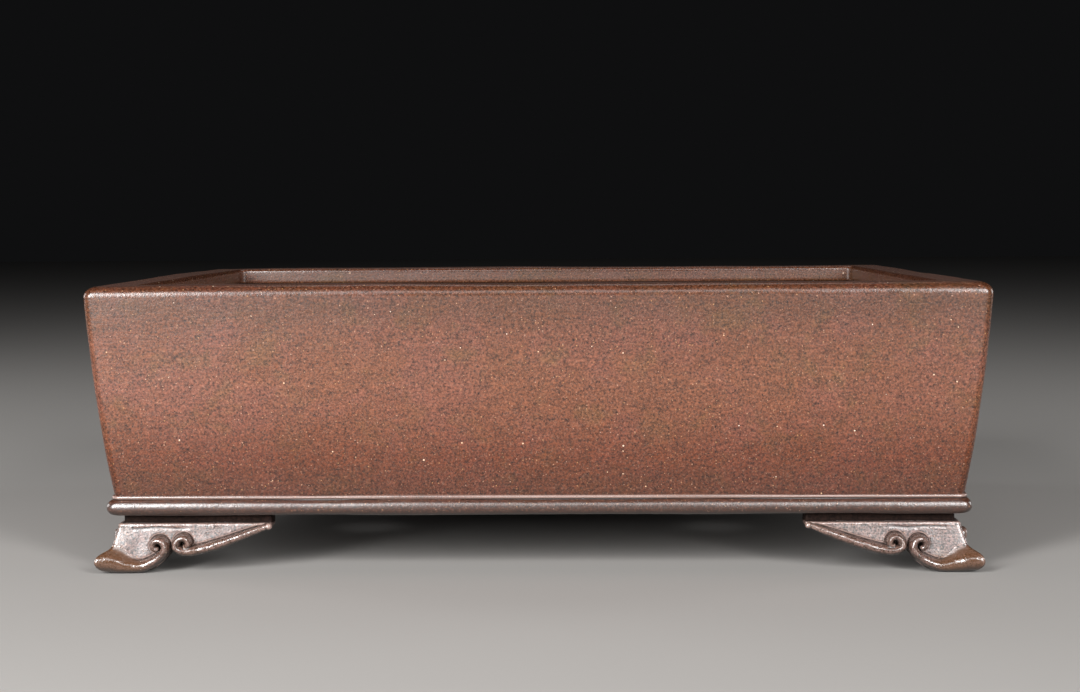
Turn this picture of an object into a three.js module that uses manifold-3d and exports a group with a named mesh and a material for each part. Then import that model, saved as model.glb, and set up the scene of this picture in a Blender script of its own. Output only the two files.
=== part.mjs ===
// A slab-built rectangular bonsai pot of unglazed purple clay: four battered walls on a drilled base,
// an inward rim, a half-round band round the foot of the walls, and four cloud-scroll corner feet.
// Every slab, strip and roll of clay is its own mesh, as it lies on the bench before luting and firing.
// Millimetres, +Z up. The origin is on the ground under the middle of the pot. +X runs along its length,
// and the front faces -Y. "Inset" is the distance inwards from the outermost plane of the rim.
import * as THREE from "three";
import { mergeVertices } from "three/addons/utils/BufferGeometryUtils.js";
import Module from "manifold-3d";

const wasm = await Module();
wasm.setup();

// Overall size
const LENGTH = 400; // over the rim, along X
const DEPTH = 280; // over the rim, along Y
const HEIGHT = 129;
const JOINT = 0.3; // slip-filled joint between two pieces of clay

// Heights of the seams, from the ground up
const FOOT_SHOULDER = 21.7; // where a foot's face ends and its recessed neck begins
const BASE_UNDERSIDE = 25.8;
const BASE_THICKNESS = 8.9;
const BASE_TOP = BASE_UNDERSIDE + BASE_THICKNESS;
const RIM_THICKNESS = 9;
const RIM_UNDERSIDE = HEIGHT - RIM_THICKNESS;

// Walls
const WALL_THICKNESS = 8;
const TAPER = 9.5; // how far the foot of a wall stands inside the rim
const BULGE = 1.2; // how far the middle of a wall swells out of its straight batter
const WALL_LEVELS = 6;

// Rim
const RIM_WIDTH = 21.4;
const RIM_EDGE_RADIUS = 5; // outer top edge
const LIP_TOP_RADIUS = 2; // inner top edge
const LIP_BOTTOM_RADIUS = 1.5; // inner bottom edge

// Band and base
const BASE_INSET = 12;
const BAND_INSET = 6.6; // the band's outermost line
const BAND_EDGE_INSET = 9.6; // where the half-round meets its flat underside
const BAND_ARC_STEPS = 7;
const BEAD_RADIUS = 1; // fine bead along the top of the band

// Plan corner radii of the rounded rectangle that everything follows
const OUTER_CORNER_RADIUS = 4;
const INNER_CORNER_RADIUS = 3;
const CORNER_STEPS = 4;

// Coils pressed into the inside seams
const COIL_RADIUS = 6;
const COIL_STEPS = 3;

// Holes through the base
const DRAIN_RADIUS = 17;
const DRAIN_X = 86;
const WIRE_HOLE_RADIUS = 3.2;
const WIRE_HOLE_X = 130;
const WIRE_HOLE_Y = 62;

// Feet: each is two mitred legs, and "along" is the distance from a foot's corner edge along a leg
const FOOT_INSET = 11.2; // corner edge of a foot, at the shoulder
const NECK_INSET = 13.4;
const LEG_BACK_INSET = 23;
const LONG_LEG = 69; // from the corner edge to the wing's tip, on the long sides
const SHORT_LEG = 60; // the same, on the short sides
const CUSP = { along: 24.4, height: 12 }; // the notch between the two scrolls
const WING_START = 34; // a leg's wing stretches only beyond its scroll
const SCROLL_STEPS = 5;
const SCROLL_INSET = 7.2; // middle of a scroll's roll where the spiral begins
const SCROLL_SINK = 0.7; // how much deeper the roll's middle lies at the eye
const SCROLL_DEPTH = 3.1; // half the roll's size in and out where the spiral begins
const SCROLL_FLATTENING = 0.25; // share of that depth lost on the way to the eye
const SCROLL_CLOSING = 0.5; // share of the spiral's reach lost on the way to the eye
const SCROLL_THINNING = 0.4; // share of the roll's radius lost on the way to the eye
const TUBE_SIDES = 6;
const STEPS_PER_STOP = 1.4;

const CLAY = { color: 0x8a5543, roughness: 0.55, metalness: 0 };
const DARK_CLAY = { color: 0x74493d, roughness: 0.5, metalness: 0 };

const radians = THREE.MathUtils.degToRad;

// ---- solids ----

// A three.js geometry as a manifold-3d solid.
function solidOf(geometry) {
  const bare = geometry.clone();
  bare.deleteAttribute("normal");
  bare.deleteAttribute("uv");
  const merged = mergeVertices(bare, 1e-4);
  return new wasm.Manifold(
    new wasm.Mesh({
      numProp: 3,
      vertProperties: merged.attributes.position.array,
      triVerts: new Uint32Array(merged.index.array),
    }),
  );
}

// A manifold-3d solid as a named three.js mesh.
function meshOf(name, solid, look) {
  const { numProp, vertProperties, triVerts } = solid.getMesh();
  const count = vertProperties.length / numProp;
  const positions = new Float32Array(count * 3);
  for (let i = 0; i < count; i++) {
    positions.set(vertProperties.subarray(i * numProp, i * numProp + 3), i * 3);
  }
  const geometry = new THREE.BufferGeometry();
  geometry.setAttribute("position", new THREE.BufferAttribute(positions, 3));
  geometry.setIndex(new THREE.BufferAttribute(triVerts, 1));
  geometry.computeVertexNormals();
  const mesh = new THREE.Mesh(geometry, new THREE.MeshStandardMaterial(look));
  mesh.name = name;
  return mesh;
}

// An upright prism over a plan outline, from one height to another.
function prism(outline, bottom, top) {
  const shape = outline instanceof THREE.Shape ? outline : new THREE.Shape(outline);
  const geometry = new THREE.ExtrudeGeometry(shape, {
    depth: top - bottom,
    bevelEnabled: false,
    curveSegments: 8,
  });
  return solidOf(geometry.translate(0, 0, bottom));
}

// Joins rows of points, each row a closed loop, into one surface. Without caps the last row meets the
// first.
function skin(rows, capped) {
  const positions = rows.flat(2);
  const size = rows[0].length;
  const index = [];
  const spans = capped ? rows.length - 1 : rows.length;
  for (let i = 0; i < spans; i++) {
    const next = (i + 1) % rows.length;
    for (let j = 0; j < size; j++) {
      const k = (j + 1) % size;
      index.push(i * size + j, i * size + k, next * size + j);
      index.push(i * size + k, next * size + k, next * size + j);
    }
  }
  for (let j = 1; capped && j < size - 1; j++) {
    const last = (rows.length - 1) * size;
    index.push(0, j + 1, j);
    index.push(last, last + j, last + j + 1);
  }
  const geometry = new THREE.BufferGeometry();
  geometry.setAttribute("position", new THREE.Float32BufferAttribute(positions, 3));
  geometry.setIndex(index);
  return solidOf(geometry);
}

// ---- mouldings that run round the pot ----

const outer = (inset, z) => ({ inset, z, radius: OUTER_CORNER_RADIUS });
const inner = (inset, z) => ({ inset, z, radius: INNER_CORNER_RADIUS });

// A point of the rounded rectangle: corner 0 is at +X +Y, and the corners go round anticlockwise.
function planPoint({ inset, z, radius }, corner, degrees) {
  const signX = corner === 0 || corner === 3 ? 1 : -1;
  const signY = corner < 2 ? 1 : -1;
  const turn = radians(corner * 90 + degrees);
  const x = signX * (LENGTH / 2 - inset - radius) + radius * Math.cos(turn);
  const y = signY * (DEPTH / 2 - inset - radius) + radius * Math.sin(turn);
  return [x, y, z];
}

// A closed section carried all the way round the rounded rectangle. The section runs down its outer side.
function ring(section) {
  const rows = [];
  for (let corner = 0; corner < 4; corner++) {
    for (let step = 0; step <= CORNER_STEPS; step++) {
      const degrees = (90 * step) / CORNER_STEPS;
      rows.push(section.map((point) => planPoint(point, corner, degrees)));
    }
  }
  return skin(rows, false);
}

// The stretch of a ring between the mitre planes of one side of the pot.
function sideOf(solid, side) {
  const reach = LENGTH;
  const half = (LENGTH - DEPTH) / 2;
  const gap = (JOINT / 2) * Math.SQRT2;
  const sign = side === "front" || side === "left" ? -1 : 1;
  const along = side === "front" || side === "back";
  const corners = along
    ? [
        [half - gap, 0],
        [half - gap + reach, sign * reach],
        [gap - half - reach, sign * reach],
        [gap - half, 0],
      ]
    : [
        [sign * (half + gap), 0],
        [sign * (half + gap + reach), -reach],
        [sign * (half + gap + reach), reach],
      ];
  const wedge = prism(corners.map(([x, y]) => new THREE.Vector2(x, y)), -1, HEIGHT + 1);
  return solid.intersect(wedge);
}

// Outer face of a wall: a straight batter with a slight swell, from the rim's edge down to the band.
function wallInset(z) {
  const top = HEIGHT - RIM_EDGE_RADIUS;
  const fall = (top - z) / (top - BASE_TOP);
  return TAPER * fall - 4 * BULGE * fall * (1 - fall);
}

// Points on an arc in the section plane, from one direction to another, both in degrees.
function arc(make, inset, z, radius, from, to, steps) {
  const points = [];
  for (let i = 0; i <= steps; i++) {
    const turn = radians(from + ((to - from) * i) / steps);
    points.push(make(inset + radius * Math.cos(turn), z + radius * Math.sin(turn)));
  }
  return points;
}

function levels(bottom, top, count) {
  return Array.from({ length: count }, (_, i) => bottom + ((top - bottom) * i) / (count - 1));
}

function wallRing() {
  const heights = levels(BASE_TOP + JOINT, RIM_UNDERSIDE - JOINT, WALL_LEVELS);
  const outside = heights.map((z) => outer(wallInset(z), z)).reverse();
  const inside = heights.map((z) => inner(wallInset(z) + WALL_THICKNESS, z));
  return ring([...outside, ...inside]);
}

function rimRing() {
  const lip = RIM_WIDTH;
  const edge = RIM_EDGE_RADIUS;
  const top = LIP_TOP_RADIUS;
  const bottom = LIP_BOTTOM_RADIUS;
  return ring([
    ...arc(outer, edge, HEIGHT - edge, edge, 90, 180, 4),
    outer(wallInset(RIM_UNDERSIDE), RIM_UNDERSIDE),
    ...arc(inner, lip - bottom, RIM_UNDERSIDE + bottom, bottom, 270, 360, 2),
    ...arc(inner, lip - top, HEIGHT - top, top, 0, 90, 3),
  ]);
}

// A half-round strip with a fine bead along its top edge.
function bandRing() {
  const bottom = BASE_UNDERSIDE;
  const top = BASE_TOP;
  const valley = top - 2 * BEAD_RADIUS;
  const middle = (bottom + valley) / 2;
  const half = (valley - bottom) / 2;
  const back = BASE_INSET - JOINT;
  const bead = arc(outer, BAND_EDGE_INSET, top - BEAD_RADIUS, BEAD_RADIUS, 90, 270, 4);
  const swell = [];
  for (let i = 1; i <= BAND_ARC_STEPS; i++) {
    const turn = radians(90 + (180 * i) / BAND_ARC_STEPS);
    const inset = BAND_EDGE_INSET + (BAND_EDGE_INSET - BAND_INSET) * Math.cos(turn);
    swell.push(outer(inset, middle + half * Math.sin(turn)));
  }
  return ring([...bead, ...swell, outer(back, bottom), outer(back, top)]);
}

// Quarter-round coil in the seam between base and walls.
function baseCoilRing() {
  const floor = BASE_TOP + JOINT;
  const heel = wallInset(floor) + WALL_THICKNESS + JOINT;
  const round = [];
  for (let i = 0; i <= COIL_STEPS; i++) {
    const turn = radians(270 - (90 * i) / COIL_STEPS);
    const z = floor + COIL_RADIUS * (1 + Math.sin(turn));
    const inset = heel + COIL_RADIUS * (1 + Math.cos(turn));
    round.push(inner(inset, z));
  }
  return ring([inner(heel, floor), ...round]);
}

// A block that fills the inside of the walls, with its corners rounded to a given radius.
function innerBlock(bottom, top, inset, radius) {
  const rows = levels(bottom, top, WALL_LEVELS).map((z) => {
    const loop = [];
    for (let corner = 0; corner < 4; corner++) {
      for (let step = 0; step <= CORNER_STEPS; step++) {
        const point = { inset: wallInset(z) + WALL_THICKNESS + inset, z, radius };
        loop.push(planPoint(point, corner, (90 * step) / CORNER_STEPS));
      }
    }
    return loop;
  });
  return skin(rows, true);
}

// The four coils in the upright inside seams, as one solid with a body in each corner of the pot.
function cornerCoils() {
  const bottom = BASE_TOP + COIL_RADIUS + 2 * JOINT;
  const top = RIM_UNDERSIDE - JOINT;
  const sharp = innerBlock(bottom, top, JOINT, INNER_CORNER_RADIUS);
  const round = innerBlock(bottom - 1, top + 1, JOINT - 0.02, INNER_CORNER_RADIUS + COIL_RADIUS);
  return sharp.subtract(round);
}

function baseSlab() {
  const x = LENGTH / 2 - BASE_INSET;
  const y = DEPTH / 2 - BASE_INSET;
  const r = OUTER_CORNER_RADIUS;
  const outline = new THREE.Shape()
    .moveTo(-x + r, -y)
    .absarc(x - r, -y + r, r, radians(-90), 0, false)
    .absarc(x - r, y - r, r, 0, radians(90), false)
    .absarc(-x + r, y - r, r, radians(90), radians(180), false)
    .absarc(-x + r, -y + r, r, radians(180), radians(270), false);
  const slab = prism(outline, BASE_UNDERSIDE, BASE_TOP);
  const drill = (cx, cy, radius, sides) => {
    const bit = new THREE.CylinderGeometry(radius, radius, 4 * BASE_THICKNESS, sides);
    bit.rotateX(radians(90)).translate(cx, cy, BASE_UNDERSIDE);
    return solidOf(bit);
  };
  const holes = [drill(-DRAIN_X, 0, DRAIN_RADIUS, 32), drill(DRAIN_X, 0, DRAIN_RADIUS, 32)];
  for (const signX of [-1, 1]) {
    for (const signY of [-1, 1]) {
      holes.push(drill(signX * WIRE_HOLE_X, signY * WIRE_HOLE_Y, WIRE_HOLE_RADIUS, 16));
    }
  }
  return holes.reduce((left, hole) => left.subtract(hole), slab);
}

// ---- feet ----
// A leg is modelled in its foot's own frame: x runs along the side of the pot from the rim's outer
// corner, y is the inset, and z is the height. The other leg is the same shape with x and y swapped.

// Stretches the wing of a leg, and nothing else, so that its tip comes out at the leg's length.
function stretch(along, legLength) {
  const share = (legLength - WING_START) / (LONG_LEG - WING_START);
  return along <= WING_START ? along : WING_START + (along - WING_START) * share;
}

// The side of the mitre plane that belongs to a leg, from the sole up to the underside of the base.
function legEnvelope() {
  const gap = (JOINT / 2) * Math.SQRT2;
  const reach = LENGTH / 2;
  const corners = [
    new THREE.Vector2(gap, 0),
    new THREE.Vector2(reach + gap, 0),
    new THREE.Vector2(reach + gap, reach),
  ];
  return prism(corners, 0, BASE_UNDERSIDE - JOINT);
}

// Side view of a leg: sole, rising toe, cusp between the scrolls, and the wing's long sweep up to its tip.
function legOutline(legLength) {
  const at = (along, height) => [FOOT_INSET + stretch(along, legLength), height];
  const shape = new THREE.Shape();
  shape.moveTo(...at(-FOOT_INSET, 0));
  shape.lineTo(...at(11, 0));
  shape.bezierCurveTo(...at(17, 0.5), ...at(22, 5), ...at(CUSP.along, CUSP.height));
  shape.bezierCurveTo(...at(25.5, 8), ...at(31, 6.6), ...at(38, 8.4));
  shape.bezierCurveTo(...at(48, 11), ...at(60, 16), ...at(LONG_LEG, 20.4));
  shape.lineTo(...at(LONG_LEG, BASE_UNDERSIDE));
  shape.lineTo(...at(-FOOT_INSET, BASE_UNDERSIDE));
  return shape;
}

// Cross-section of a leg: upright neck, shoulder, and a face that leans outwards towards the toe.
function legSection() {
  const outline = [
    [NECK_INSET, BASE_UNDERSIDE],
    [NECK_INSET, FOOT_SHOULDER + 0.6],
    [FOOT_INSET, FOOT_SHOULDER],
    [10.4, 16],
    [9.2, 10],
    [8.4, 6],
    [9.6, 0],
    [LEG_BACK_INSET - 2, 0],
    [LEG_BACK_INSET, 4],
    [LEG_BACK_INSET, BASE_UNDERSIDE],
  ];
  return new THREE.Shape(outline.map(([inset, z]) => new THREE.Vector2(inset, z)));
}

// The section swept along the leg, cut to the side view.
function legBlank(legLength) {
  const run = LENGTH / 2;
  const swept = new THREE.ExtrudeGeometry(legSection(), { depth: run, bevelEnabled: false });
  // The extrusion's x, y and z become the leg's inset, height and length.
  swept.applyMatrix4(new THREE.Matrix4().set(0, 0, 1, 0, 1, 0, 0, 0, 0, 1, 0, 0, 0, 0, 0, 1));
  const side = new THREE.ExtrudeGeometry(legOutline(legLength), {
    depth: LEG_BACK_INSET + 1,
    bevelEnabled: false,
    curveSegments: 7,
  });
  side.rotateX(radians(90)).translate(0, LEG_BACK_INSET + 1, 0);
  return solidOf(swept).intersect(solidOf(side)).intersect(legEnvelope());
}

// The stops of a scroll: a spiral that winds inwards round its eye, and thins and sinks as it goes.
function scroll({ along, height, radius, from, turn, thickness }) {
  return Array.from({ length: SCROLL_STEPS + 1 }, (_, i) => {
    const t = i / SCROLL_STEPS;
    const angle = radians(from + turn * t);
    const reach = radius * (1 - SCROLL_CLOSING * t);
    return {
      along: along + reach * Math.cos(angle),
      inset: SCROLL_INSET + SCROLL_SINK * t,
      height: height + reach * Math.sin(angle),
      radius: thickness * (1 - SCROLL_THINNING * t),
      depth: SCROLL_DEPTH * (1 - SCROLL_FLATTENING * t),
    };
  });
}

// A stop of a roll: its centre, its radius seen from the front, and its half-thickness from front to back.
const stop = (along, inset, height, radius, depth) => ({ along, inset, height, radius, depth });

// From the kicked-out toe along the sole, then up and over into the scroll nearer the corner.
const TOE_ROLL = [
  stop(-9, 7.6, 5.4, 4.3, 4.3),
  stop(-2, 7.8, 4.0, 3.8, 4.0),
  stop(6, 8.0, 2.8, 3.0, 3.6),
  stop(13, 7.8, 3.6, 2.6, 3.4),
  stop(18.6, 7.5, 6.6, 2.3, 3.2),
  ...scroll({ along: 18.4, height: 12.4, radius: 3.7, from: -30, turn: 260, thickness: 2 }),
];

// From the wing's tip down its lower edge, then up and over into the scroll nearer the tip.
const WING_ROLL = [
  stop(67.5, 10.4, 20.4, 1.1, 1.1),
  stop(58, 9.6, 16.9, 1.7, 2.0),
  stop(48, 9.0, 13.4, 2.0, 2.5),
  stop(40, 8.4, 11.0, 2.1, 2.8),
  stop(34, 8.0, 9.7, 2.1, 3.0),
  stop(29.8, 7.6, 9.7, 2.0, 3.1),
  ...scroll({ along: 30.2, height: 13.4, radius: 3.6, from: 210, turn: -260, thickness: 1.9 }),
];

// A roll of clay along its stops, as a closed tube of oval section.
function roll(stops, legLength, extra) {
  const centres = stops.map(
    ({ along, inset, height }) => new THREE.Vector3(FOOT_INSET + stretch(along, legLength), inset, height),
  );
  const line = new THREE.CatmullRomCurve3(centres, false, "centripetal");
  const sizes = new THREE.SplineCurve(stops.map(({ radius, depth }) => new THREE.Vector2(radius, depth)));
  const steps = Math.round(stops.length * STEPS_PER_STOP);
  const rows = [];
  for (let i = 0; i <= steps; i++) {
    const t = i / steps;
    const centre = line.getPoint(t);
    const size = sizes.getPoint(t).addScalar(extra);
    const out = new THREE.Vector3(0, -1, 0);
    const across = new THREE.Vector3().crossVectors(line.getTangent(t), out).normalize();
    const row = [];
    for (let j = 0; j < TUBE_SIDES; j++) {
      const turn = radians((360 * j) / TUBE_SIDES);
      const point = centre.clone();
      point.addScaledVector(out, size.y * Math.cos(turn));
      point.addScaledVector(across, size.x * Math.sin(turn));
      row.push(point.toArray());
    }
    rows.push(row);
  }
  return skin(rows, true);
}

function legMeshes(name, legLength) {
  const envelope = legEnvelope();
  const toe = roll(TOE_ROLL, legLength, 0).intersect(envelope);
  const wing = roll(WING_ROLL, legLength, 0);
  const plate = legBlank(legLength)
    .subtract(roll(TOE_ROLL, legLength, JOINT))
    .subtract(roll(WING_ROLL, legLength, JOINT));
  return [
    meshOf(`${name}_plate`, plate, DARK_CLAY),
    meshOf(`${name}_toe_roll`, toe, DARK_CLAY),
    meshOf(`${name}_wing_roll`, wing, DARK_CLAY),
  ];
}

// A foot stands at one corner of the pot. Its short leg is its long leg's mirror image in the mitre plane.
function foot(name, signX, signY) {
  const group = new THREE.Group();
  group.position.set((-signX * LENGTH) / 2, (-signY * DEPTH) / 2, 0);
  group.scale.set(signX, signY, 1);
  group.add(...legMeshes(`${name}_long`, LONG_LEG));
  const swapped = new THREE.Group();
  swapped.rotation.z = radians(90);
  swapped.scale.y = -1;
  swapped.add(...legMeshes(`${name}_short`, SHORT_LEG));
  group.add(swapped);
  return group;
}

// ---- the pot ----

const SIDES = ["front", "back", "left", "right"];

function sides(prefix, solid) {
  return SIDES.map((side) => meshOf(`${prefix}_${side}`, sideOf(solid, side), CLAY));
}

// Names the four bodies of a solid after the corner of the pot that each stands in.
function corners(prefix, solid) {
  return solid.decompose().map((body) => {
    const { min, max } = body.boundingBox();
    const depth = min[1] + max[1] < 0 ? "front" : "back";
    const across = min[0] + max[0] < 0 ? "left" : "right";
    return meshOf(`${prefix}_${depth}_${across}`, body, CLAY);
  });
}

const pot = new THREE.Group();
pot.add(
  meshOf("base_slab", baseSlab(), CLAY),
  ...sides("wall", wallRing()),
  ...sides("rim", rimRing()),
  ...sides("band", bandRing()),
  ...sides("base_coil", baseCoilRing()),
  ...corners("corner_coil", cornerCoils()),
  foot("foot_front_left", 1, 1),
  foot("foot_front_right", -1, 1),
  foot("foot_back_left", 1, -1),
  foot("foot_back_right", -1, -1),
);

export default pot;
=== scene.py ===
"""The looks of a rectangular bonsai pot of unglazed purple clay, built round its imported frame.

Metres, +Z up, in the same frame as the CAD. "Inset" is the distance inwards from the outermost plane of the
rim. The body's strips are cut from one continuous surface, so that the fired pot shows no seams between them.
Each foot is sculpted as a distance field, and stands for the two leg plates and the rolls of that corner.
"""

import math

import bpy
import numpy as np
from mathutils import Matrix, Vector
from mathutils.geometry import delaunay_2d_cdt


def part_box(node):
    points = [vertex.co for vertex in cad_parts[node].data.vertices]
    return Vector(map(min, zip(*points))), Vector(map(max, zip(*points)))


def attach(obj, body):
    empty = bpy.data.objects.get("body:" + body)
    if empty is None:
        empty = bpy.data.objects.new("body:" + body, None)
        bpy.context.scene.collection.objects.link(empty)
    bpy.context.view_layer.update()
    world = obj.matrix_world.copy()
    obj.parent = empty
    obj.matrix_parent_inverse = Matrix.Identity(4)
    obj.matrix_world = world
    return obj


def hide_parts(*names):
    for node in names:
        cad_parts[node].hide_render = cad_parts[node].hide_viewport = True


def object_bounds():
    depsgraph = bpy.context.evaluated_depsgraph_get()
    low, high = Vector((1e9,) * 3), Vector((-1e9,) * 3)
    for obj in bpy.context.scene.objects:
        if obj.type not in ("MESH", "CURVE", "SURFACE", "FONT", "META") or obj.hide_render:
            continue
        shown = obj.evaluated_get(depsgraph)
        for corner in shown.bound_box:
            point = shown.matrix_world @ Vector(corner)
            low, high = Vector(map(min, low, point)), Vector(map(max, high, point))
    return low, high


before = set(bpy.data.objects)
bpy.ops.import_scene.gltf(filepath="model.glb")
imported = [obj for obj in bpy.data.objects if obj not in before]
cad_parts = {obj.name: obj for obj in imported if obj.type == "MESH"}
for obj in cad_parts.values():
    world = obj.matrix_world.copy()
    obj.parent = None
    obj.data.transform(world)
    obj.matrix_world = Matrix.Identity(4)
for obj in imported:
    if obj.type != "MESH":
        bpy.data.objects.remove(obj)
cad_low, cad_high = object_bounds()

MM = 0.001

# ---- sizes that the frame gives ----

HALF_LENGTH = cad_high.x
HALF_DEPTH = cad_high.y
RIM_TOP = cad_high.z
base_low, base_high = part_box("base_slab")
BASE_UNDERSIDE = base_low.z
BASE_TOP = base_high.z
BASE_INSET = HALF_LENGTH - base_high.x
RIM_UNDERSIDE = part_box("rim_front")[0].z
BAND_INSET = HALF_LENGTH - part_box("band_right")[1].x

# ---- sizes that the CAD source names too ----

WALL_THICKNESS = 8 * MM
TAPER = 9.5 * MM
BULGE = 1.2 * MM
RIM_WIDTH = 21.4 * MM
RIM_EDGE_RADIUS = 5 * MM
LIP_TOP_RADIUS = 2 * MM
LIP_BOTTOM_RADIUS = 1.5 * MM
BAND_EDGE_INSET = 9.6 * MM
BEAD_RADIUS = 1 * MM
OUTER_CORNER = 4 * MM
INNER_CORNER = 3 * MM
COIL_RADIUS = 6 * MM
DRAIN_RADIUS = 17 * MM
DRAIN_X = 86 * MM
WIRE_HOLE_RADIUS = 3.2 * MM
WIRE_HOLE_X = 130 * MM
WIRE_HOLE_Y = 62 * MM
FOOT_SHOULDER = 21.7 * MM
FOOT_INSET = 11.2 * MM
NECK_INSET = 13.4 * MM
LEG_BACK_INSET = 23 * MM
LONG_LEG = 69 * MM
SHORT_LEG = 60 * MM
WING_START = 34 * MM

# ---- sizes that only the looks have ----

GROOVE_TURN = 8  # degrees by which bead and half-round stop short of the bottom of their groove
DRAIN_EASING = 1.2 * MM  # how far a hole's edges are rounded off
WIRE_EASING = 0.6 * MM
EASING_MIDDLE = 0.3  # where the middle of a rounded-off edge lies, as a share of its easing

# Corners are numbered anticlockwise, and each side starts at the mitre of the corner with its number.
CORNER_SIGNS = ((1, 1), (-1, 1), (-1, -1), (1, -1))
CORNER_NAMES = ("back_right", "back_left", "front_left", "front_right")
SIDE_NAMES = ("back", "left", "front", "right")

# ---- mesh resolution ----

ALONG_STEP = 2 * MM  # between points along a side
WALL_LEVELS = 56
INSIDE_LEVELS = 30
CORNER_COIL_LEVELS = 40
LINING_SPANS = 8  # down through the base, round its edge and its holes
DRAIN_SPANS = 64
WIRE_SPANS = 24
BASE_SPACING = 5 * MM  # between points on the base slab
HOLE_MARGIN = 0.1 * MM  # within which a point counts as on a hole's edge
MERGE_DISTANCE = 1e-7
TINY = 1e-12  # keeps a division off zero
SHARP_ANGLE = 35
CORNER_SPANS = 8  # round each upright corner, even so that one row lies on the mitre
BURIED = 0.1 * MM  # how deep one piece's hidden edge lies in the next
FOOT_STEP = 0.45 * MM
FOOT_FACES = 30000


# ---- relief ----


BODY_WAVES = 18
WAVE_SPREAD = (0.7, 1.5)  # the shortest and longest waves of a swell, as shares of its wavelength
HAND_SWELLS = ((0.28, 110, 1), (0.10, 34, 2), (0.035, 11, 3))
COIL_RELIEF = 0.3  # how much of the hand's relief an upright coil has


def swell(points, wavelength, seed, waves):
    """Smooth random relief, about -1 to 1. It depends only on the place, so neighbouring pieces agree."""
    rng = np.random.default_rng(seed)
    directions = rng.normal(size=(waves, 3))
    directions /= np.linalg.norm(directions, axis=1)[:, None]
    lengths = wavelength * rng.uniform(*WAVE_SPREAD, waves)
    phases = rng.uniform(0, 2 * np.pi, waves)
    angles = points @ (2 * np.pi * directions / lengths[:, None]).T + phases
    return np.sin(angles).sum(axis=1) / math.sqrt(2 * waves)


def relief(points, swells, waves=BODY_WAVES, seed_shift=0):
    """Swells added up, in millimetres. Each is (height, wavelength, seed), in millimetres too."""
    return sum(h * swell(points, length * MM, seed + seed_shift, waves) for h, length, seed in swells)


def hand_relief(points):
    """How far a hand-built surface stands out of its true shape."""
    return MM * relief(points, HAND_SWELLS)


# ---- sections: lists of (inset, height), and with the corner radius in plan added ----


def wall_inset(z):
    top = RIM_TOP - RIM_EDGE_RADIUS
    fall = (top - z) / (top - BASE_TOP)
    return TAPER * fall - 4 * BULGE * fall * (1 - fall)


def arc(inset, z, radius, start, end, steps):
    turns = np.radians(np.linspace(start, end, steps + 1))
    return list(zip(inset + radius * np.cos(turns), z + radius * np.sin(turns)))


def line(start, end, steps):
    return list(zip(np.linspace(start[0], end[0], steps + 1), np.linspace(start[1], end[1], steps + 1)))


def with_corner(points, radius):
    return [(inset, z, radius) for inset, z in points]


def rim_section():
    """From the wall's inside under the rim, round the lip, over the top and down the outside."""
    lip_low = (RIM_WIDTH - LIP_BOTTOM_RADIUS, RIM_UNDERSIDE + LIP_BOTTOM_RADIUS)
    lip_high = (RIM_WIDTH - LIP_TOP_RADIUS, RIM_TOP - LIP_TOP_RADIUS)
    shoulder = RIM_TOP - RIM_EDGE_RADIUS
    seam = (wall_inset(RIM_UNDERSIDE) + WALL_THICKNESS, RIM_UNDERSIDE)
    inside = line(seam, (lip_low[0], RIM_UNDERSIDE), 6)[:-1]
    inside += arc(*lip_low, LIP_BOTTOM_RADIUS, -90, 0, 5)[:-1]
    inside += line((RIM_WIDTH, lip_low[1]), (RIM_WIDTH, lip_high[1]), 4)[:-1]
    inside += arc(*lip_high, LIP_TOP_RADIUS, 0, 90, 6)[:-1]
    top = line((lip_high[0], RIM_TOP), (RIM_EDGE_RADIUS, RIM_TOP), 12)
    outside = top[6:-1] + arc(RIM_EDGE_RADIUS, shoulder, RIM_EDGE_RADIUS, 90, 180, 14)
    outside += [(wall_inset(z), z) for z in np.linspace(shoulder, RIM_UNDERSIDE, 4)[1:]]
    return with_corner(inside + top[:6], INNER_CORNER) + with_corner(outside, OUTER_CORNER)


def wall_outside():
    heights = np.linspace(RIM_UNDERSIDE, BASE_TOP - 2 * BURIED, WALL_LEVELS)
    return [(wall_inset(z), z, OUTER_CORNER) for z in heights]


def wall_inside():
    heights = np.linspace(BASE_TOP - BURIED, RIM_UNDERSIDE + BURIED, INSIDE_LEVELS)
    return [(wall_inset(z) + WALL_THICKNESS, z, INNER_CORNER) for z in heights]


def band_section():
    """From its bed under the wall, over the fine bead and the half-round, and back underneath."""
    valley = BASE_TOP - 2 * BEAD_RADIUS
    middle = (BASE_UNDERSIDE + valley) / 2
    half_height = (valley - BASE_UNDERSIDE) / 2
    reach = BAND_EDGE_INSET - BAND_INSET
    bed = line((BAND_EDGE_INSET + BEAD_RADIUS, BASE_TOP - BURIED), (BAND_EDGE_INSET, BASE_TOP), 2)[:-1]
    bead = arc(BAND_EDGE_INSET, BASE_TOP - BEAD_RADIUS, BEAD_RADIUS, 90, 270 - GROOVE_TURN, 10)
    turns = np.radians(np.linspace(90 + GROOVE_TURN, 270, 22))
    half_round = list(zip(BAND_EDGE_INSET + reach * np.cos(turns), middle + half_height * np.sin(turns)))
    underside = line((BAND_EDGE_INSET, BASE_UNDERSIDE), (BASE_INSET, BASE_UNDERSIDE), 2)[1:]
    return with_corner(bed + bead + half_round + underside, OUTER_CORNER)


def floor_coil_section():
    """The concave face of the coil in the floor seam. In plan its corners share the corner coils' centres."""
    heel = wall_inset(BASE_TOP) + WALL_THICKNESS
    points = arc(heel + COIL_RADIUS, BASE_TOP + COIL_RADIUS, COIL_RADIUS, 270, 180, 8)
    plan = INNER_CORNER + COIL_RADIUS
    return [(inset - BURIED, z - BURIED, plan - (inset - heel)) for inset, z in points]


# ---- rings: sections carried round the pot ----


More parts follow.
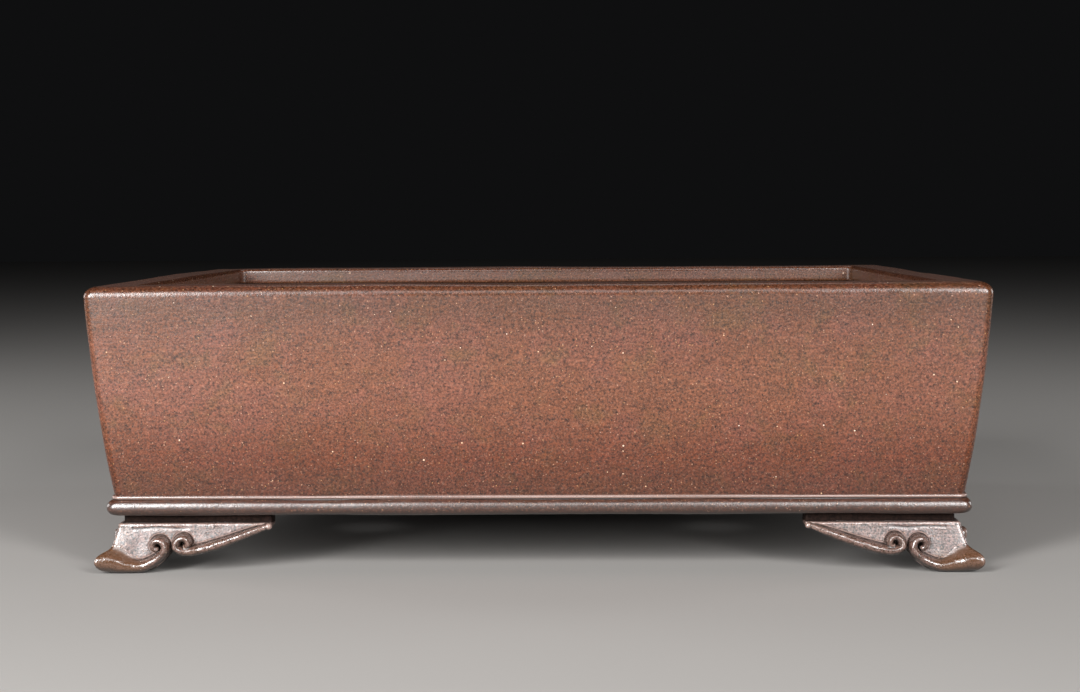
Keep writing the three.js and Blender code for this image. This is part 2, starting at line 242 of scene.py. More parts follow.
def corner_row(section, corner, turn):
    """A section's points at one turn, in degrees, of a rounded corner."""
    inset, z, radius = section.T
    sign_x, sign_y = CORNER_SIGNS[corner]
    angle = math.radians(90 * corner + turn)
    x = sign_x * (HALF_LENGTH - inset - radius) + radius * math.cos(angle)
    y = sign_y * (HALF_DEPTH - inset - radius) + radius * math.sin(angle)
    return np.stack([x, y, z], axis=1)


def ring(section):
    """Points of a section carried round the pot, as an array of path by section by 3."""
    section = np.array(section)
    turns = np.linspace(0, 90, CORNER_SPANS + 1)
    arcs = [[corner_row(section, corner, turn) for turn in turns] for corner in range(4)]
    rows = []
    for corner in range(4):
        rows += arcs[corner]
        start = arcs[corner][-1]
        end = arcs[(corner + 1) % 4][0]
        spans = side_spans(corner)
        rows += [start + (end - start) * step / spans for step in range(1, spans)]
    return np.array(rows)


def side_spans(side):
    return round(2 * (HALF_DEPTH if side % 2 else HALF_LENGTH) / ALONG_STEP)


def side_rows(side):
    """The path numbers of one side's rows, from mitre to mitre. Numbers past the end start again."""
    first = CORNER_SPANS // 2 + sum(CORNER_SPANS + side_spans(earlier) for earlier in range(side))
    total = sum(CORNER_SPANS + side_spans(each) for each in range(4))
    return np.arange(first, first + CORNER_SPANS + side_spans(side) + 1) % total


def grid_slopes(points):
    """Steps along and across a grid that is closed along its path and open across it."""
    along = np.roll(points, -1, axis=0) - np.roll(points, 1, axis=0)
    return along, np.gradient(points, axis=1)


def grid_normals(points):
    along, across = grid_slopes(points)
    normals = np.cross(across, along)
    return normals / np.linalg.norm(normals, axis=2, keepdims=True)


def grid_bend(points, normals):
    """How sharply a grid bends, per millimetre: above 0 on ridges and below 0 in grooves."""
    bend = np.zeros(points.shape[:2])
    for step, turn in zip(grid_slopes(points), grid_slopes(normals)):
        bend += (step * turn).sum(axis=2) / np.maximum((step * step).sum(axis=2), TINY)
    return bend * MM


def worked_ring(section):
    """A ring with the hand's relief pressed into it: its points, normals and bend."""
    points = ring(section)
    relief = hand_relief(points.reshape(-1, 3)).reshape(points.shape[:2])
    points = points + grid_normals(points) * relief[:, :, None]
    normals = grid_normals(points)
    return points, normals, grid_bend(points, normals)


def columns(worked, start, end):
    return tuple(array[:, start:end] for array in worked)


def buried_edge(inset, z, radius):
    """A single hidden line round the pot, which a strip's closing faces run to."""
    points = ring([(inset, z, radius)])
    return points, np.zeros_like(points), np.zeros(points.shape[:2])


# ---- pieces ----


def piece_of(name, mesh, look, nodes):
    """A mesh as a visible piece of the pot, standing for CAD nodes."""
    mesh.materials.append(look)
    piece = bpy.data.objects.new(name, mesh)
    bpy.context.scene.collection.objects.link(piece)
    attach(piece, "root")
    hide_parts(*nodes)
    return piece


def set_values(mesh, name, values):
    attribute = mesh.attributes.new(name, "FLOAT", "POINT")
    attribute.data.foreach_set("value", np.asarray(values, dtype=np.float32))


def strip_mesh(name, chunks, rows):
    """A closed strip. Its section is the chunks one after another, smooth within a chunk and flat between
    chunks, and its two ends are flat."""
    points, normals, bend = (np.concatenate([chunk[k][rows] for chunk in chunks], axis=1) for k in range(3))
    count, size = points.shape[:2]
    last_columns = set(np.cumsum([chunk[0].shape[1] for chunk in chunks]) - 1)
    faces = []
    smooth = []
    for i in range(count - 1):
        for j in range(size):
            k = (j + 1) % size
            faces.append((i * size + j, i * size + k, (i + 1) * size + k, (i + 1) * size + j))
            smooth.append(j not in last_columns)
    faces.append(tuple(range(size))[::-1])
    faces.append(tuple(range((count - 1) * size, count * size)))
    smooth += [False, False]
    mesh = bpy.data.meshes.new(name)
    mesh.from_pydata(points.reshape(-1, 3), [], faces)
    mesh.polygons.foreach_set("use_smooth", smooth)
    corners = [loop.vertex_index for loop in mesh.loops]
    on_smooth = np.repeat(smooth, [len(face) for face in faces])
    corner_normals = np.where(on_smooth[:, None], normals.reshape(-1, 3)[corners], 0)
    mesh.normals_split_custom_set(corner_normals.tolist())
    set_values(mesh, "bend", bend.ravel())
    return mesh


def add_strips(prefix, chunks, look, inner_look=None):
    """One piece for each side of the pot."""
    for side, side_name in enumerate(SIDE_NAMES):
        node = f"{prefix}_{side_name}"
        mesh = strip_mesh(node, chunks, side_rows(side))
        piece_of(f"clay_{node}", mesh, look, [node])
        if inner_look:
            line_inside(mesh, inner_look)


def line_inside(mesh, inner_look):
    """Gives a wall's faces on the inside of the pot a look of their own: the darker copy of the clay, as
    painted shade.
    """
    mesh.materials.append(inner_look)
    for face in mesh.polygons:
        x, y, z = face.center
        inset = min(HALF_LENGTH - abs(x), HALF_DEPTH - abs(y))
        face.material_index = int(inset > wall_inset(z) + WALL_THICKNESS / 2)


def add_body(clay, shaded_inner_clay, band_clay):
    rim = rim_section()
    outside = worked_ring(rim + wall_outside()[1:])
    rim_count = len(rim)
    inside = worked_ring(wall_inside())
    add_strips("rim", [columns(outside, 0, rim_count)], clay)
    wall = [columns(outside, rim_count - 1, None), inside]
    add_strips("wall", wall, clay, shaded_inner_clay)
    add_strips("band", [worked_ring(band_section())], band_clay)
    heel = wall_inset(BASE_TOP) + WALL_THICKNESS
    seam = buried_edge(heel - 3 * BURIED, BASE_TOP - 3 * BURIED, INNER_CORNER + COIL_RADIUS)
    add_strips("base_coil", [worked_ring(floor_coil_section()), seam], shaded_inner_clay)
    for corner in range(4):
        add_corner_coil(corner, shaded_inner_clay)
    add_base(shaded_inner_clay)


def add_corner_coil(corner, clay):
    """The coil in an upright inside corner: a concave face in front and the wall's corner behind."""
    plan = INNER_CORNER + COIL_RADIUS
    heights = np.linspace(BASE_TOP - BURIED, RIM_UNDERSIDE + BURIED, CORNER_COIL_LEVELS)
    faces_in = np.array([(wall_inset(z) + WALL_THICKNESS - BURIED, z, plan) for z in heights])
    behind = np.array([(wall_inset(z) + WALL_THICKNESS - 3 * BURIED, z, INNER_CORNER) for z in heights])
    turns = np.linspace(0, 90, 2 * CORNER_SPANS + 1)
    front = np.array([corner_row(faces_in, corner, turn) for turn in turns]).swapaxes(0, 1)
    back = np.array([corner_row(behind, corner, turn) for turn in (90, 45, 0)]).swapaxes(0, 1)
    points = np.concatenate([front, back], axis=1)
    count, size = points.shape[:2]
    faces = [tuple(range(size)), tuple(range((count - 1) * size, count * size))[::-1]]
    for i in range(count - 1):
        for j in range(size):
            k = (j + 1) % size
            faces.append((i * size + j, (i + 1) * size + j, (i + 1) * size + k, i * size + k))
    flat_points = points.reshape(-1, 3)
    flat_points[:, :2] += (COIL_RELIEF * hand_relief(flat_points))[:, None]
    name = f"corner_coil_{CORNER_NAMES[corner]}"
    piece_of(f"clay_{name}", solid_mesh(name, flat_points, faces), clay, [name])


def solid_mesh(name, points, faces):
    """A closed mesh, smooth except across sharp edges."""
    mesh = bpy.data.meshes.new(name)
    mesh.from_pydata(points, [], faces)
    mesh.polygons.foreach_set("use_smooth", [True] * len(faces))
    mesh.set_sharp_from_angle(angle=math.radians(SHARP_ANGLE))
    return mesh


def hole_profile(radius, easing):
    """LINING_SPANS + 1 rings of (radius, height) down through the base, rounded off at both ends."""
    middle = EASING_MIDDLE * easing
    profile = [(radius + easing, BASE_TOP), (radius + middle, BASE_TOP - middle)]
    straight = np.linspace(BASE_TOP - easing, BASE_UNDERSIDE + easing, LINING_SPANS - 3)
    profile += [(radius, z) for z in straight]
    return profile + [(radius + middle, BASE_UNDERSIDE + middle), (radius + easing, BASE_UNDERSIDE)]


def base_holes():
    """Each hole through the base as (middle, radius, easing of its edges, points round it)."""
    holes = [((sign * DRAIN_X, 0), DRAIN_RADIUS, DRAIN_EASING, DRAIN_SPANS) for sign in (-1, 1)]
    for x in (-WIRE_HOLE_X, WIRE_HOLE_X):
        holes += [((x, y), WIRE_HOLE_RADIUS, WIRE_EASING, WIRE_SPANS) for y in (-WIRE_HOLE_Y, WIRE_HOLE_Y)]
    return [(np.array(middle), radius, easing, spans) for middle, radius, easing, spans in holes]


def hole_at(point, holes, margin):
    """The hole that a point of the plan lies in, or within a margin of, if any."""
    for hole in holes:
        middle, radius, easing, _ = hole
        if np.linalg.norm(point - middle) < radius + easing + margin:
            return hole
    return None


def base_plan(holes):
    """The base's plan, triangulated round its holes, as points and anticlockwise triangles."""
    edge = np.array([(BASE_INSET, BASE_TOP, OUTER_CORNER)])
    turns = np.linspace(0, 90, CORNER_SPANS + 1)
    loops = [[corner_row(edge, corner, turn)[0, :2] for corner in range(4) for turn in turns]]
    for middle, radius, easing, spans in holes:
        angles = np.linspace(0, 2 * np.pi, spans, endpoint=False)
        loops.append(list(middle + (radius + easing) * np.stack([np.cos(angles), np.sin(angles)], axis=1)))
    edges = []
    plan = []
    for loop in loops:
        edges += [(len(plan) + i, len(plan) + (i + 1) % len(loop)) for i in range(len(loop))]
        plan += loop
    reach_x = HALF_LENGTH - BASE_INSET - BASE_SPACING
    reach_y = HALF_DEPTH - BASE_INSET - BASE_SPACING
    for x in np.arange(-reach_x, reach_x + BASE_SPACING / 2, BASE_SPACING):
        for y in np.arange(-reach_y, reach_y + BASE_SPACING / 2, BASE_SPACING):
            if hole_at(np.array((x, y)), holes, BASE_SPACING / 2) is None:
                plan.append((x, y))
    cut = delaunay_2d_cdt([Vector(point) for point in plan], edges, [], 0, MERGE_DISTANCE)
    points = np.array([(v.x, v.y) for v in cut[0]])
    triangles = [tuple(face) for face in cut[2]]
    solid = [t for t in triangles if hole_at(points[list(t)].mean(axis=0), holes, -HOLE_MARGIN) is None]
    return points, solid


def base_lining(spot, holes):
    """Places down through the base from a spot on the border of its plan."""
    hole = hole_at(spot, holes, HOLE_MARGIN)
    if hole is None:
        return [(spot, z) for z in np.linspace(BASE_TOP, BASE_UNDERSIDE, LINING_SPANS + 1)]
    middle, radius, easing, _ = hole
    return [(middle + (spot - middle) * r / (radius + easing), z) for r, z in hole_profile(radius, easing)]


def add_base(clay):
    """The base slab: its plan as top and underside, with linings down its outer edge and its holes."""
    holes = base_holes()
    plan, triangles = base_plan(holes)
    count = len(plan)
    top = np.column_stack([plan, np.full(count, BASE_TOP)])
    top[:, 2] += hand_relief(top)
    points = list(top) + list(np.column_stack([plan, np.full(count, BASE_UNDERSIDE)]))
    faces = triangles + [tuple(count + i for i in reversed(triangle)) for triangle in triangles]
    directed = {(t[k], t[(k + 1) % 3]) for t in triangles for k in range(3)}
    border = sorted(edge for edge in directed if edge[::-1] not in directed)
    linings = {}
    for corner in sorted({corner for edge in border for corner in edge}):
        between = base_lining(plan[corner], holes)[1:-1]
        numbers = range(len(points), len(points) + len(between))
        points += [(*spot, z) for spot, z in between]
        linings[corner] = [corner, *numbers, corner + count]
    for start, end in border:
        a, b = linings[start], linings[end]
        for above in range(LINING_SPANS):
            faces.append((b[above], a[above], a[above + 1], b[above + 1]))
    piece_of("clay_base_slab", solid_mesh("base_slab", points, faces), clay, ["base_slab"])


# ---- feet ----

# A foot's surface is where a signed distance is zero, and the distance is below zero inside the clay. "Along"
# is the distance from the foot's corner edge along a leg. Stops are (along, inset, height, radius, depth), in
# millimetres: a roll is an oval of that radius up and down and that depth in and out.
TOE_STOPS = (
    (-9, 8.2, 5.4, 5.0, 6.3), (-3, 8.2, 5.0, 4.7, 5.7), (3, 8.1, 3.5, 3.5, 4.5), (8, 7.9, 2.9, 2.8, 3.8),
    (13, 7.8, 3.6, 2.5, 3.4), (18.6, 7.5, 6.6, 2.2, 3.2),
)
WING_STOPS = (
    (67.5, 10.4, 20.4, 1.1, 1.1), (58, 9.6, 16.9, 1.7, 2.0), (48, 9.0, 13.4, 2.0, 2.5),
    (40, 8.4, 11.0, 2.1, 2.8), (34, 8.0, 9.7, 2.1, 3.0), (29.8, 7.6, 9.7, 2.0, 3.1),
)
TOE_SCROLL = {"along": 18.4, "height": 12.0, "reach": 3.8, "start": -30, "turn": 270, "thickness": 1.8}
WING_SCROLL = {"along": 30.2, "height": 13.0, "reach": 3.7, "start": 210, "turn": -270, "thickness": 1.7}
SCROLL_SPANS = 8
SCROLL_CLOSING = 0.6  # the share of its reach that a scroll loses towards its eye
SCROLL_THINNING = 0.25  # and of its thickness
SCROLL_INSET = 7.2
SCROLL_SINK = 0.7  # how much further in its eye lies
SCROLL_DEPTH = 3.1
KNOB = (68 * MM, 10.4 * MM, 20.4 * MM)  # the ball at a wing's tip: along, inset and height
KNOB_RADIUS = 1.5 * MM

# The plates' faces. "Drop" is the depth below the foot's shoulder in millimetres.
FACE_SLOPE = 0.115  # how far a face comes forward for each millimetre of drop
FACE_SWEEP = 0.0042  # and for its square
FACE_STEEPNESS = 0.98  # makes the distance to a sloping face about true
UNDERCUT_TOP = 6 * MM
UNDERCUT = 0.16  # how far it draws in again, for the square of the height under that
FLARE = 1.1  # how far a toe's corner stands out, in millimetres
FLARE_DROPS = (1, 11)  # between which it grows
FLARE_REACH = (10 * MM, 0)
FLARE_HEIGHTS = (2 * MM, 7 * MM)
DIG_DEPTH = 0.9 * MM  # of the hollow beside the rolls
DIG_WIDTH = 0.55 * MM
DIG_START = (7 * MM, 13 * MM)
SCORE_DEPTH = 0.35  # of the wavering line under the shoulder, in millimetres
SCORE_DROP = 2.0 * MM
SCORE_WIDTH = 0.4 * MM
SCORE_WAVER = 0.25 * MM
SCORE_WAVE = 3 * MM
SCORE_START = (5 * MM, 8 * MM)
SCORE_END = (36 * MM, 24 * MM)

# How softly the surfaces run into one another.
CORNER_SOFTNESS = 1.6 * MM
SHOULDER_SOFTNESS = 0.9 * MM
EDGE_SOFTNESS = 0.6 * MM
BACK_SOFTNESS = 1.2 * MM
SOLE_SOFTNESS = 0.5 * MM
ROLL_SOLE_SOFTNESS = 0.8 * MM
SCROLLS_SOFTNESS = 0.3 * MM
JOIN_SOFTNESS = 0.4  # in millimetres, of a roll into its plate
TOE_JOIN_SOFTNESS = 3.2  # and this much more at the toe
TOE_JOIN_REACH = (12 * MM, 2 * MM)
NECK_BEDDING = 0.4 * MM  # how deep the neck runs into the base
FACE_MARGIN = 0.2 * MM  # above the shoulder, where the neck's clay begins
ROLL_BACK_INSET = 14 * MM

# Swells as relief() takes them. Each corner shifts their seeds by its number.
FOOT_WAVES = 9
PLATE_SWELLS = ((0.16, 26, 20), (0.06, 7, 30))
KNOCK_SWELLS = ((0.14, 12, 50), (0.07, 4, 60))

ROLL_BURNISH = 0.4
TOE_BURNISH_REACH = (16 * MM, 8 * MM)
BURNISH_EDGE = -0.3 * MM

# Tables of distances over a leg's face, and the grid round a foot.
TABLE_STEP = 0.25 * MM
TABLE_LOW = (-14 * MM, -2 * MM)
TABLE_HIGH = (73 * MM, 30 * MM)
TABLE_END = 1.001  # keeps a place's next sample inside the table
FAR = 1.0  # longer than any distance on a foot
ROLL_SPANS = 24  # between two stops
GRID_START = (0.2 * MM, 0.2 * MM, -1 * MM)  # from the rim's two planes and from the ground
GRID_MARGIN = 3 * MM
EMPTY = 2 * MM  # the distance given to places with no clay near them
SETTLE_REACH = 0.1 * MM
SETTLE_LIMIT = 0.4  # how far a point may settle, as a share of the grid's step
LEAST_STEEPNESS = 0.25
BEND_REACH = 0.5 * MM


def ease(value, start, end):
    """0 before the start and 1 past the end, with a smooth rise between them."""
    share = np.clip((value - start) / (end - start), 0, 1)
    return share * share * (3 - 2 * share)


def soft_max(a, b, softness):
    """The larger value, rounded where the two are nearly alike."""
    share = np.clip(0.5 + 0.5 * (a - b) / softness, 0, 1)
    return b + (a - b) * share + softness * share * (1 - share)


def soft_min(a, b, softness):
    return -soft_max(-a, -b, softness)


def scroll_stops(scroll):
    """Stops of a roll that curls in towards the scroll's eye."""
    stops = []
    for share in np.linspace(0, 1, SCROLL_SPANS + 1):
        angle = math.radians(scroll["start"] + scroll["turn"] * share)
        reach = scroll["reach"] * (1 - SCROLL_CLOSING * share)
        thinning = 1 - SCROLL_THINNING * share
        along = scroll["along"] + reach * math.cos(angle)
        height = scroll["height"] + reach * math.sin(angle)
        inset = SCROLL_INSET + SCROLL_SINK * share
        stops.append((along, inset, height, scroll["thickness"] * thinning, SCROLL_DEPTH * thinning))
    return stops


def smooth_path(stops):
    """Places on a Catmull-Rom curve through stops, with as many numbers each as a stop has."""
    stops = np.array(stops)
    ends = np.concatenate([[2 * stops[0] - stops[1]], stops, [2 * stops[-1] - stops[-2]]])
    path = []
    for before, start, end, after in zip(ends, ends[1:], ends[2:], ends[3:]):
        slope = end - before
        bend = 2 * before - 5 * start + 4 * end - after
        twist = 3 * start - before - 3 * end + after
        for t in np.arange(ROLL_SPANS) / ROLL_SPANS:
            path.append(0.5 * (2 * start + slope * t + bend * t**2 + twist * t**3))
    return np.array([*path, stops[-1]])


def table_places():
    along = np.arange(TABLE_LOW[0], TABLE_HIGH[0], TABLE_STEP)
    height = np.arange(TABLE_LOW[1], TABLE_HIGH[1], TABLE_STEP)
    return np.meshgrid(along, height, indexing="ij")


def roll_table(stops):
    """For each place on a leg's face, the gap to the roll's side, and the roll's radius, inset and depth."""
    along, height = table_places()
    gap = np.full(along.shape, FAR)
    nearest = np.zeros((3, *along.shape))
    for a, inset, z, radius, depth in smooth_path(stops) * MM:
        new_gap = np.hypot(along - a, height - z) - radius
        closer = new_gap < gap
        gap = np.where(closer, new_gap, gap)
        for k, value in enumerate((radius, inset, depth)):
            nearest[k][closer] = value
    return np.stack([gap, *nearest])


def bezier(*controls, steps=40):
    """A cubic curve from the first control to the last, bent by the two between them."""
    t = np.linspace(0, 1, steps)[:, None]
    a, b, c, d = (np.array(control) for control in controls)
    return a * (1 - t) ** 3 + 3 * b * t * (1 - t) ** 2 + 3 * c * t**2 * (1 - t) + d * t**3


def outline_table():
    """Signed distance to the line under a leg's plate: its sole, its cusp and its wing's lower edge."""
    along, height = table_places()
    sole = np.column_stack([np.linspace(-16, 11, 60), np.full(60, -0.5)])
    edge = np.concatenate([
        sole,
        bezier((11, 0), (17, 0.5), (22, 5), (24.4, 12)),
        bezier((24.4, 12), (25.5, 8), (31, 6.6), (38, 8.4)),
        bezier((38, 8.4), (48, 11), (60, 16), (75, 22.4)),
    ]) * MM
    distance = np.full(along.shape, FAR)
    for a, z in edge:
        distance = np.minimum(distance, np.hypot(along - a, height - z))
    below = height < np.interp(along, edge[:, 0], edge[:, 1])
    return np.where(below, distance, -distance)[None]


def sampled(table, along, height):
    """Values of a table's layers at any places on a leg's face."""
    x = np.clip((along - TABLE_LOW[0]) / TABLE_STEP, 0, table.shape[1] - TABLE_END)
    y = np.clip((height - TABLE_LOW[1]) / TABLE_STEP, 0, table.shape[2] - TABLE_END)
    i, j = x.astype(int), y.astype(int)
    fx, fy = x - i, y - j
    lower = table[:, i, j] * (1 - fx) + table[:, i + 1, j] * fx
    upper = table[:, i, j + 1] * (1 - fx) + table[:, i + 1, j + 1] * fx
    return lower * (1 - fy) + upper * fy


TOE = roll_table([*TOE_STOPS, *scroll_stops(TOE_SCROLL)])
WING = roll_table([*WING_STOPS, *scroll_stops(WING_SCROLL)])
OUTLINE = outline_table()


def roll_distance(layers, inset):
    """A roll stands forward as half an oval, and runs straight back into its plate."""
    gap, radius, centre, depth = layers
    forward = np.minimum(inset - centre, 0) / depth
    return (np.hypot(np.maximum(1 + gap / radius, 0), forward) - 1) * radius


def leg_place(points, corner):
    """Where points are on the nearer leg: along it, inset and up. The shorter wing is stretched to match."""
    sign_x, sign_y = CORNER_SIGNS[corner]
    u = HALF_LENGTH - sign_x * points[:, 0]
    v = HALF_DEPTH - sign_y * points[:, 1]
    along = soft_max(u, v, CORNER_SOFTNESS) - FOOT_INSET
    unevenness = relief(points, PLATE_SWELLS, FOOT_WAVES, corner)
    inset = soft_min(u, v, CORNER_SOFTNESS) + MM * unevenness
    beyond = np.maximum(along - WING_START, 0)
    leg = np.where(u > v, LONG_LEG, SHORT_LEG)
    along = along - beyond + beyond * (LONG_LEG - WING_START) / (leg - WING_START)
    return along, inset, points[:, 2]


def face_inset(along, z, gap, corner):
    """How far in a plate's face lies: swept, undercut, dug out by the rolls, scored and flared."""
    drop = (FOOT_SHOULDER - z) / MM
    undercut = UNDERCUT * np.maximum(UNDERCUT_TOP - z, 0) ** 2 / MM
    swept = FOOT_INSET - MM * (FACE_SLOPE * drop + FACE_SWEEP * drop**2) + undercut
    dug = DIG_DEPTH * np.exp(-(np.maximum(gap, 0) / DIG_WIDTH) ** 2) * ease(along, *DIG_START)
    line_height = FOOT_SHOULDER - SCORE_DROP + SCORE_WAVER * np.sin(along / SCORE_WAVE + corner)
    scored = np.exp(-(((z - line_height) / SCORE_WIDTH) ** 2)) * ease(along, *SCORE_START)
    scored *= ease(along, *SCORE_END)
    flare = FLARE * ease(drop, *FLARE_DROPS) * ease(along, *FLARE_REACH) * ease(z, *FLARE_HEIGHTS)
    return swept + dug + MM * (SCORE_DEPTH * scored - flare)


def plates_at(place, gap, corner):
    """Signed distance of a foot's two plates with the neck that carries them."""
    along, inset, z = place
    face = face_inset(along, z, gap, corner)
    block = soft_max(FACE_STEEPNESS * (face - inset), z - FOOT_SHOULDER, SHOULDER_SOFTNESS)
    neck = np.maximum(NECK_INSET - inset, z - BASE_UNDERSIDE - NECK_BEDDING)
    plate = soft_min(block, neck, EDGE_SOFTNESS)
    plate = soft_max(plate, sampled(OUTLINE, along, z)[0], EDGE_SOFTNESS)
    plate = soft_max(plate, inset - LEG_BACK_INSET, BACK_SOFTNESS)
    plate = soft_max(plate, along - LONG_LEG, EDGE_SOFTNESS)
    return soft_max(plate, -z, SOLE_SOFTNESS)


def foot_distances(points, corner):
    """Signed distances of a foot's plates and rolls, how softly they join, and the points' insets."""
    place = leg_place(points, corner)
    along, inset, z = place
    toe_layers = sampled(TOE, along, z)
    wing_layers = sampled(WING, along, z)
    plate = plates_at(place, np.minimum(toe_layers[0], wing_layers[0]), corner)
    rolls = soft_min(roll_distance(toe_layers, inset), roll_distance(wing_layers, inset), SCROLLS_SOFTNESS)
    from_knob = np.stack([value - middle for value, middle in zip(place, KNOB)])
    rolls = np.minimum(rolls, np.linalg.norm(from_knob, axis=0) - KNOB_RADIUS)
    knocks = relief(points, KNOCK_SWELLS, FOOT_WAVES, corner)
    rolls = soft_max(rolls + MM * knocks, -z, ROLL_SOLE_SOFTNESS)
    softness = MM * (JOIN_SOFTNESS + TOE_JOIN_SOFTNESS * ease(along, *TOE_JOIN_REACH))
    return plate, rolls, softness, inset


def plate_distance(points, corner):
    return foot_distances(points, corner)[0]


def rolls_distance(points, corner):
    """The rolls with the soft clay that joins them to their plate. The plate's own face shows beyond it."""
    plate, rolls, softness, inset = foot_distances(points, corner)
    z = points[:, 2]
    joined = soft_max(soft_min(plate, rolls, softness), -z, ROLL_SOLE_SOFTNESS)
    own = np.maximum(rolls - plate - softness, z - FOOT_SHOULDER - FACE_MARGIN)
    return np.maximum(np.maximum(joined, own), inset - ROLL_BACK_INSET)


def insets_of(points):
    """How far points lie in from the nearer side, and from the nearer of front and back."""
    return np.array([HALF_LENGTH, HALF_DEPTH]) - np.abs(points[..., :2])


def burnish(points, corner):
    """1 on a toe, which is rubbed to a bronze tone, less on the other rolls, and 0 on the plates."""
    plate, rolls, softness, _ = foot_distances(points, corner)
    along = insets_of(points).max(axis=-1) - FOOT_INSET
    share = ROLL_BURNISH + (1 - ROLL_BURNISH) * ease(along, *TOE_BURNISH_REACH)
    return ease(rolls - plate, softness, BURNISH_EDGE) * share


def foot_grid(corner):
    """The lowest corner of the grid round a foot, and how many points it has each way."""
    size = np.array([LONG_LEG + FOOT_INSET, SHORT_LEG + FOOT_INSET, BASE_UNDERSIDE]) + GRID_MARGIN
    near_x, near_y, low_z = GRID_START
    sign_x, sign_y = CORNER_SIGNS[corner]
    low_x = min(sign_x * (HALF_LENGTH - end) for end in (near_x, near_x + size[0]))
    low_y = min(sign_y * (HALF_DEPTH - end) for end in (near_y, near_y + size[1]))
    counts = np.ceil(size / FOOT_STEP).astype(int) + 1
    return np.array([low_x, low_y, low_z]), counts


def sample_foot(distance, corner):
    """A distance sampled on a foot's grid, with the empty quarter inside its legs left out."""
    low, counts = foot_grid(corner)
    places = np.stack(np.meshgrid(*[np.arange(count) for count in counts], indexing="ij"), axis=-1)
    points = low + places * FOOT_STEP
    near = insets_of(points).min(axis=-1) < LEG_BACK_INSET + EMPTY
    field = np.full(near.shape, EMPTY)
    field[near] = distance(points[near], corner)
    return field, low


def surface_net(field):
    """The zero surface of a sampled field, in grid units: one point in each cell it crosses, and quads."""
    inside = field < 0
    spans = [size - 1 for size in field.shape]
    offsets = np.array([(a, b, c) for a in (0, 1) for b in (0, 1) for c in (0, 1)])
    corners = np.stack([inside[a:a + spans[0], b:b + spans[1], c:c + spans[2]] for a, b, c in offsets])
    cells = np.argwhere(corners.any(axis=0) & ~corners.all(axis=0))
    total = np.zeros((len(cells), 3))
    crossings = np.zeros(len(cells))
    for start in offsets:
        for axis in np.flatnonzero(start == 0):
            end = start + np.eye(3, dtype=int)[axis]
            first = field[tuple((cells + start).T)]
            second = field[tuple((cells + end).T)]
            crossed = (first < 0) != (second < 0)
            share = np.where(crossed, first / np.where(crossed, first - second, 1), 0)
            total += crossed[:, None] * (start + share[:, None] * (end - start))
            crossings += crossed
    points = cells + total / crossings[:, None]
    numbers = np.full(spans, -1)
    numbers[tuple(cells.T)] = np.arange(len(cells))
    quads = []
    for axis in range(3):
        side, up = (axis + 1) % 3, (axis + 2) % 3
        step = np.eye(3, dtype=int)
        ahead = np.roll(inside, -1, axis=axis)
        changed = np.argwhere(inside != ahead)
        changed = changed[(changed[:, axis] < spans[axis]) & (changed[:, side] > 0) & (changed[:, up] > 0)]
        changed = changed[(changed[:, side] < spans[side]) & (changed[:, up] < spans[up])]
        ring_cells = [changed - step[side] - step[up], changed - step[up], changed, changed - step[side]]
        quad = np.stack([numbers[tuple(cell.T)] for cell in ring_cells], axis=1)
        outward = inside[tuple(changed.T)]
        quads.append(np.where(outward[:, None], quad, quad[:, ::-1]))
    return points, np.concatenate(quads)


def slope_of(distance, points, corner, reach):
    """A distance's slope at points and how sharply its surface bends there, both over a reach."""
    steps = np.eye(3) * reach
    ahead = [distance(points + step, corner) for step in steps]
    back = [distance(points - step, corner) for step in steps]
    slope = np.stack([(a - b) / (2 * reach) for a, b in zip(ahead, back)], axis=1)
    bend = (sum(ahead) + sum(back) - 6 * distance(points, corner)) / reach**2
    return slope, bend


def settled(points, distance, corner):
    """Points moved onto a distance's surface, by part of the grid's step at most."""
    slope, _ = slope_of(distance, points, corner, SETTLE_REACH)
    steepness = np.maximum((slope**2).sum(axis=1), LEAST_STEEPNESS)
    move = -slope * (distance(points, corner) / steepness)[:, None]
    length = np.linalg.norm(move, axis=1, keepdims=True)
    return points + move * np.minimum(1, SETTLE_LIMIT * FOOT_STEP / np.maximum(length, TINY))


def thinned(mesh, name, share):
    """A mesh replaced by one with a share of its faces."""
    dense = bpy.data.objects.new(mesh.name, mesh)
    bpy.context.scene.collection.objects.link(dense)
    dense.modifiers.new("thin", "DECIMATE").ratio = share
    depsgraph = bpy.context.evaluated_depsgraph_get()
    thin = bpy.data.meshes.new_from_object(dense.evaluated_get(depsgraph))
    bpy.data.objects.remove(dense)
    bpy.data.meshes.remove(mesh)
    thin.name = name
    return thin


def sculpt(name, distance, corner):
    """A foot's closed mesh: netted from its distance, settled onto it, and thinned where it is flat."""
    field, low = sample_foot(distance, corner)
    points, quads = surface_net(field)
    points = settled(low + points * FOOT_STEP, distance, corner)
    dense = bpy.data.meshes.new(f"{name}_dense")
    dense.from_pydata(points, [], quads.tolist())
    mesh = thinned(dense, name, min(1, FOOT_FACES / (2 * len(quads))))
    mesh.polygons.foreach_set("use_smooth", [True] * len(mesh.polygons))
    spots = np.array([vertex.co for vertex in mesh.vertices])
    _, bend = slope_of(distance, spots, corner, BEND_REACH)
    set_values(mesh, "bend", bend * MM)
    set_values(mesh, "burnish", burnish(spots, corner))
    return mesh


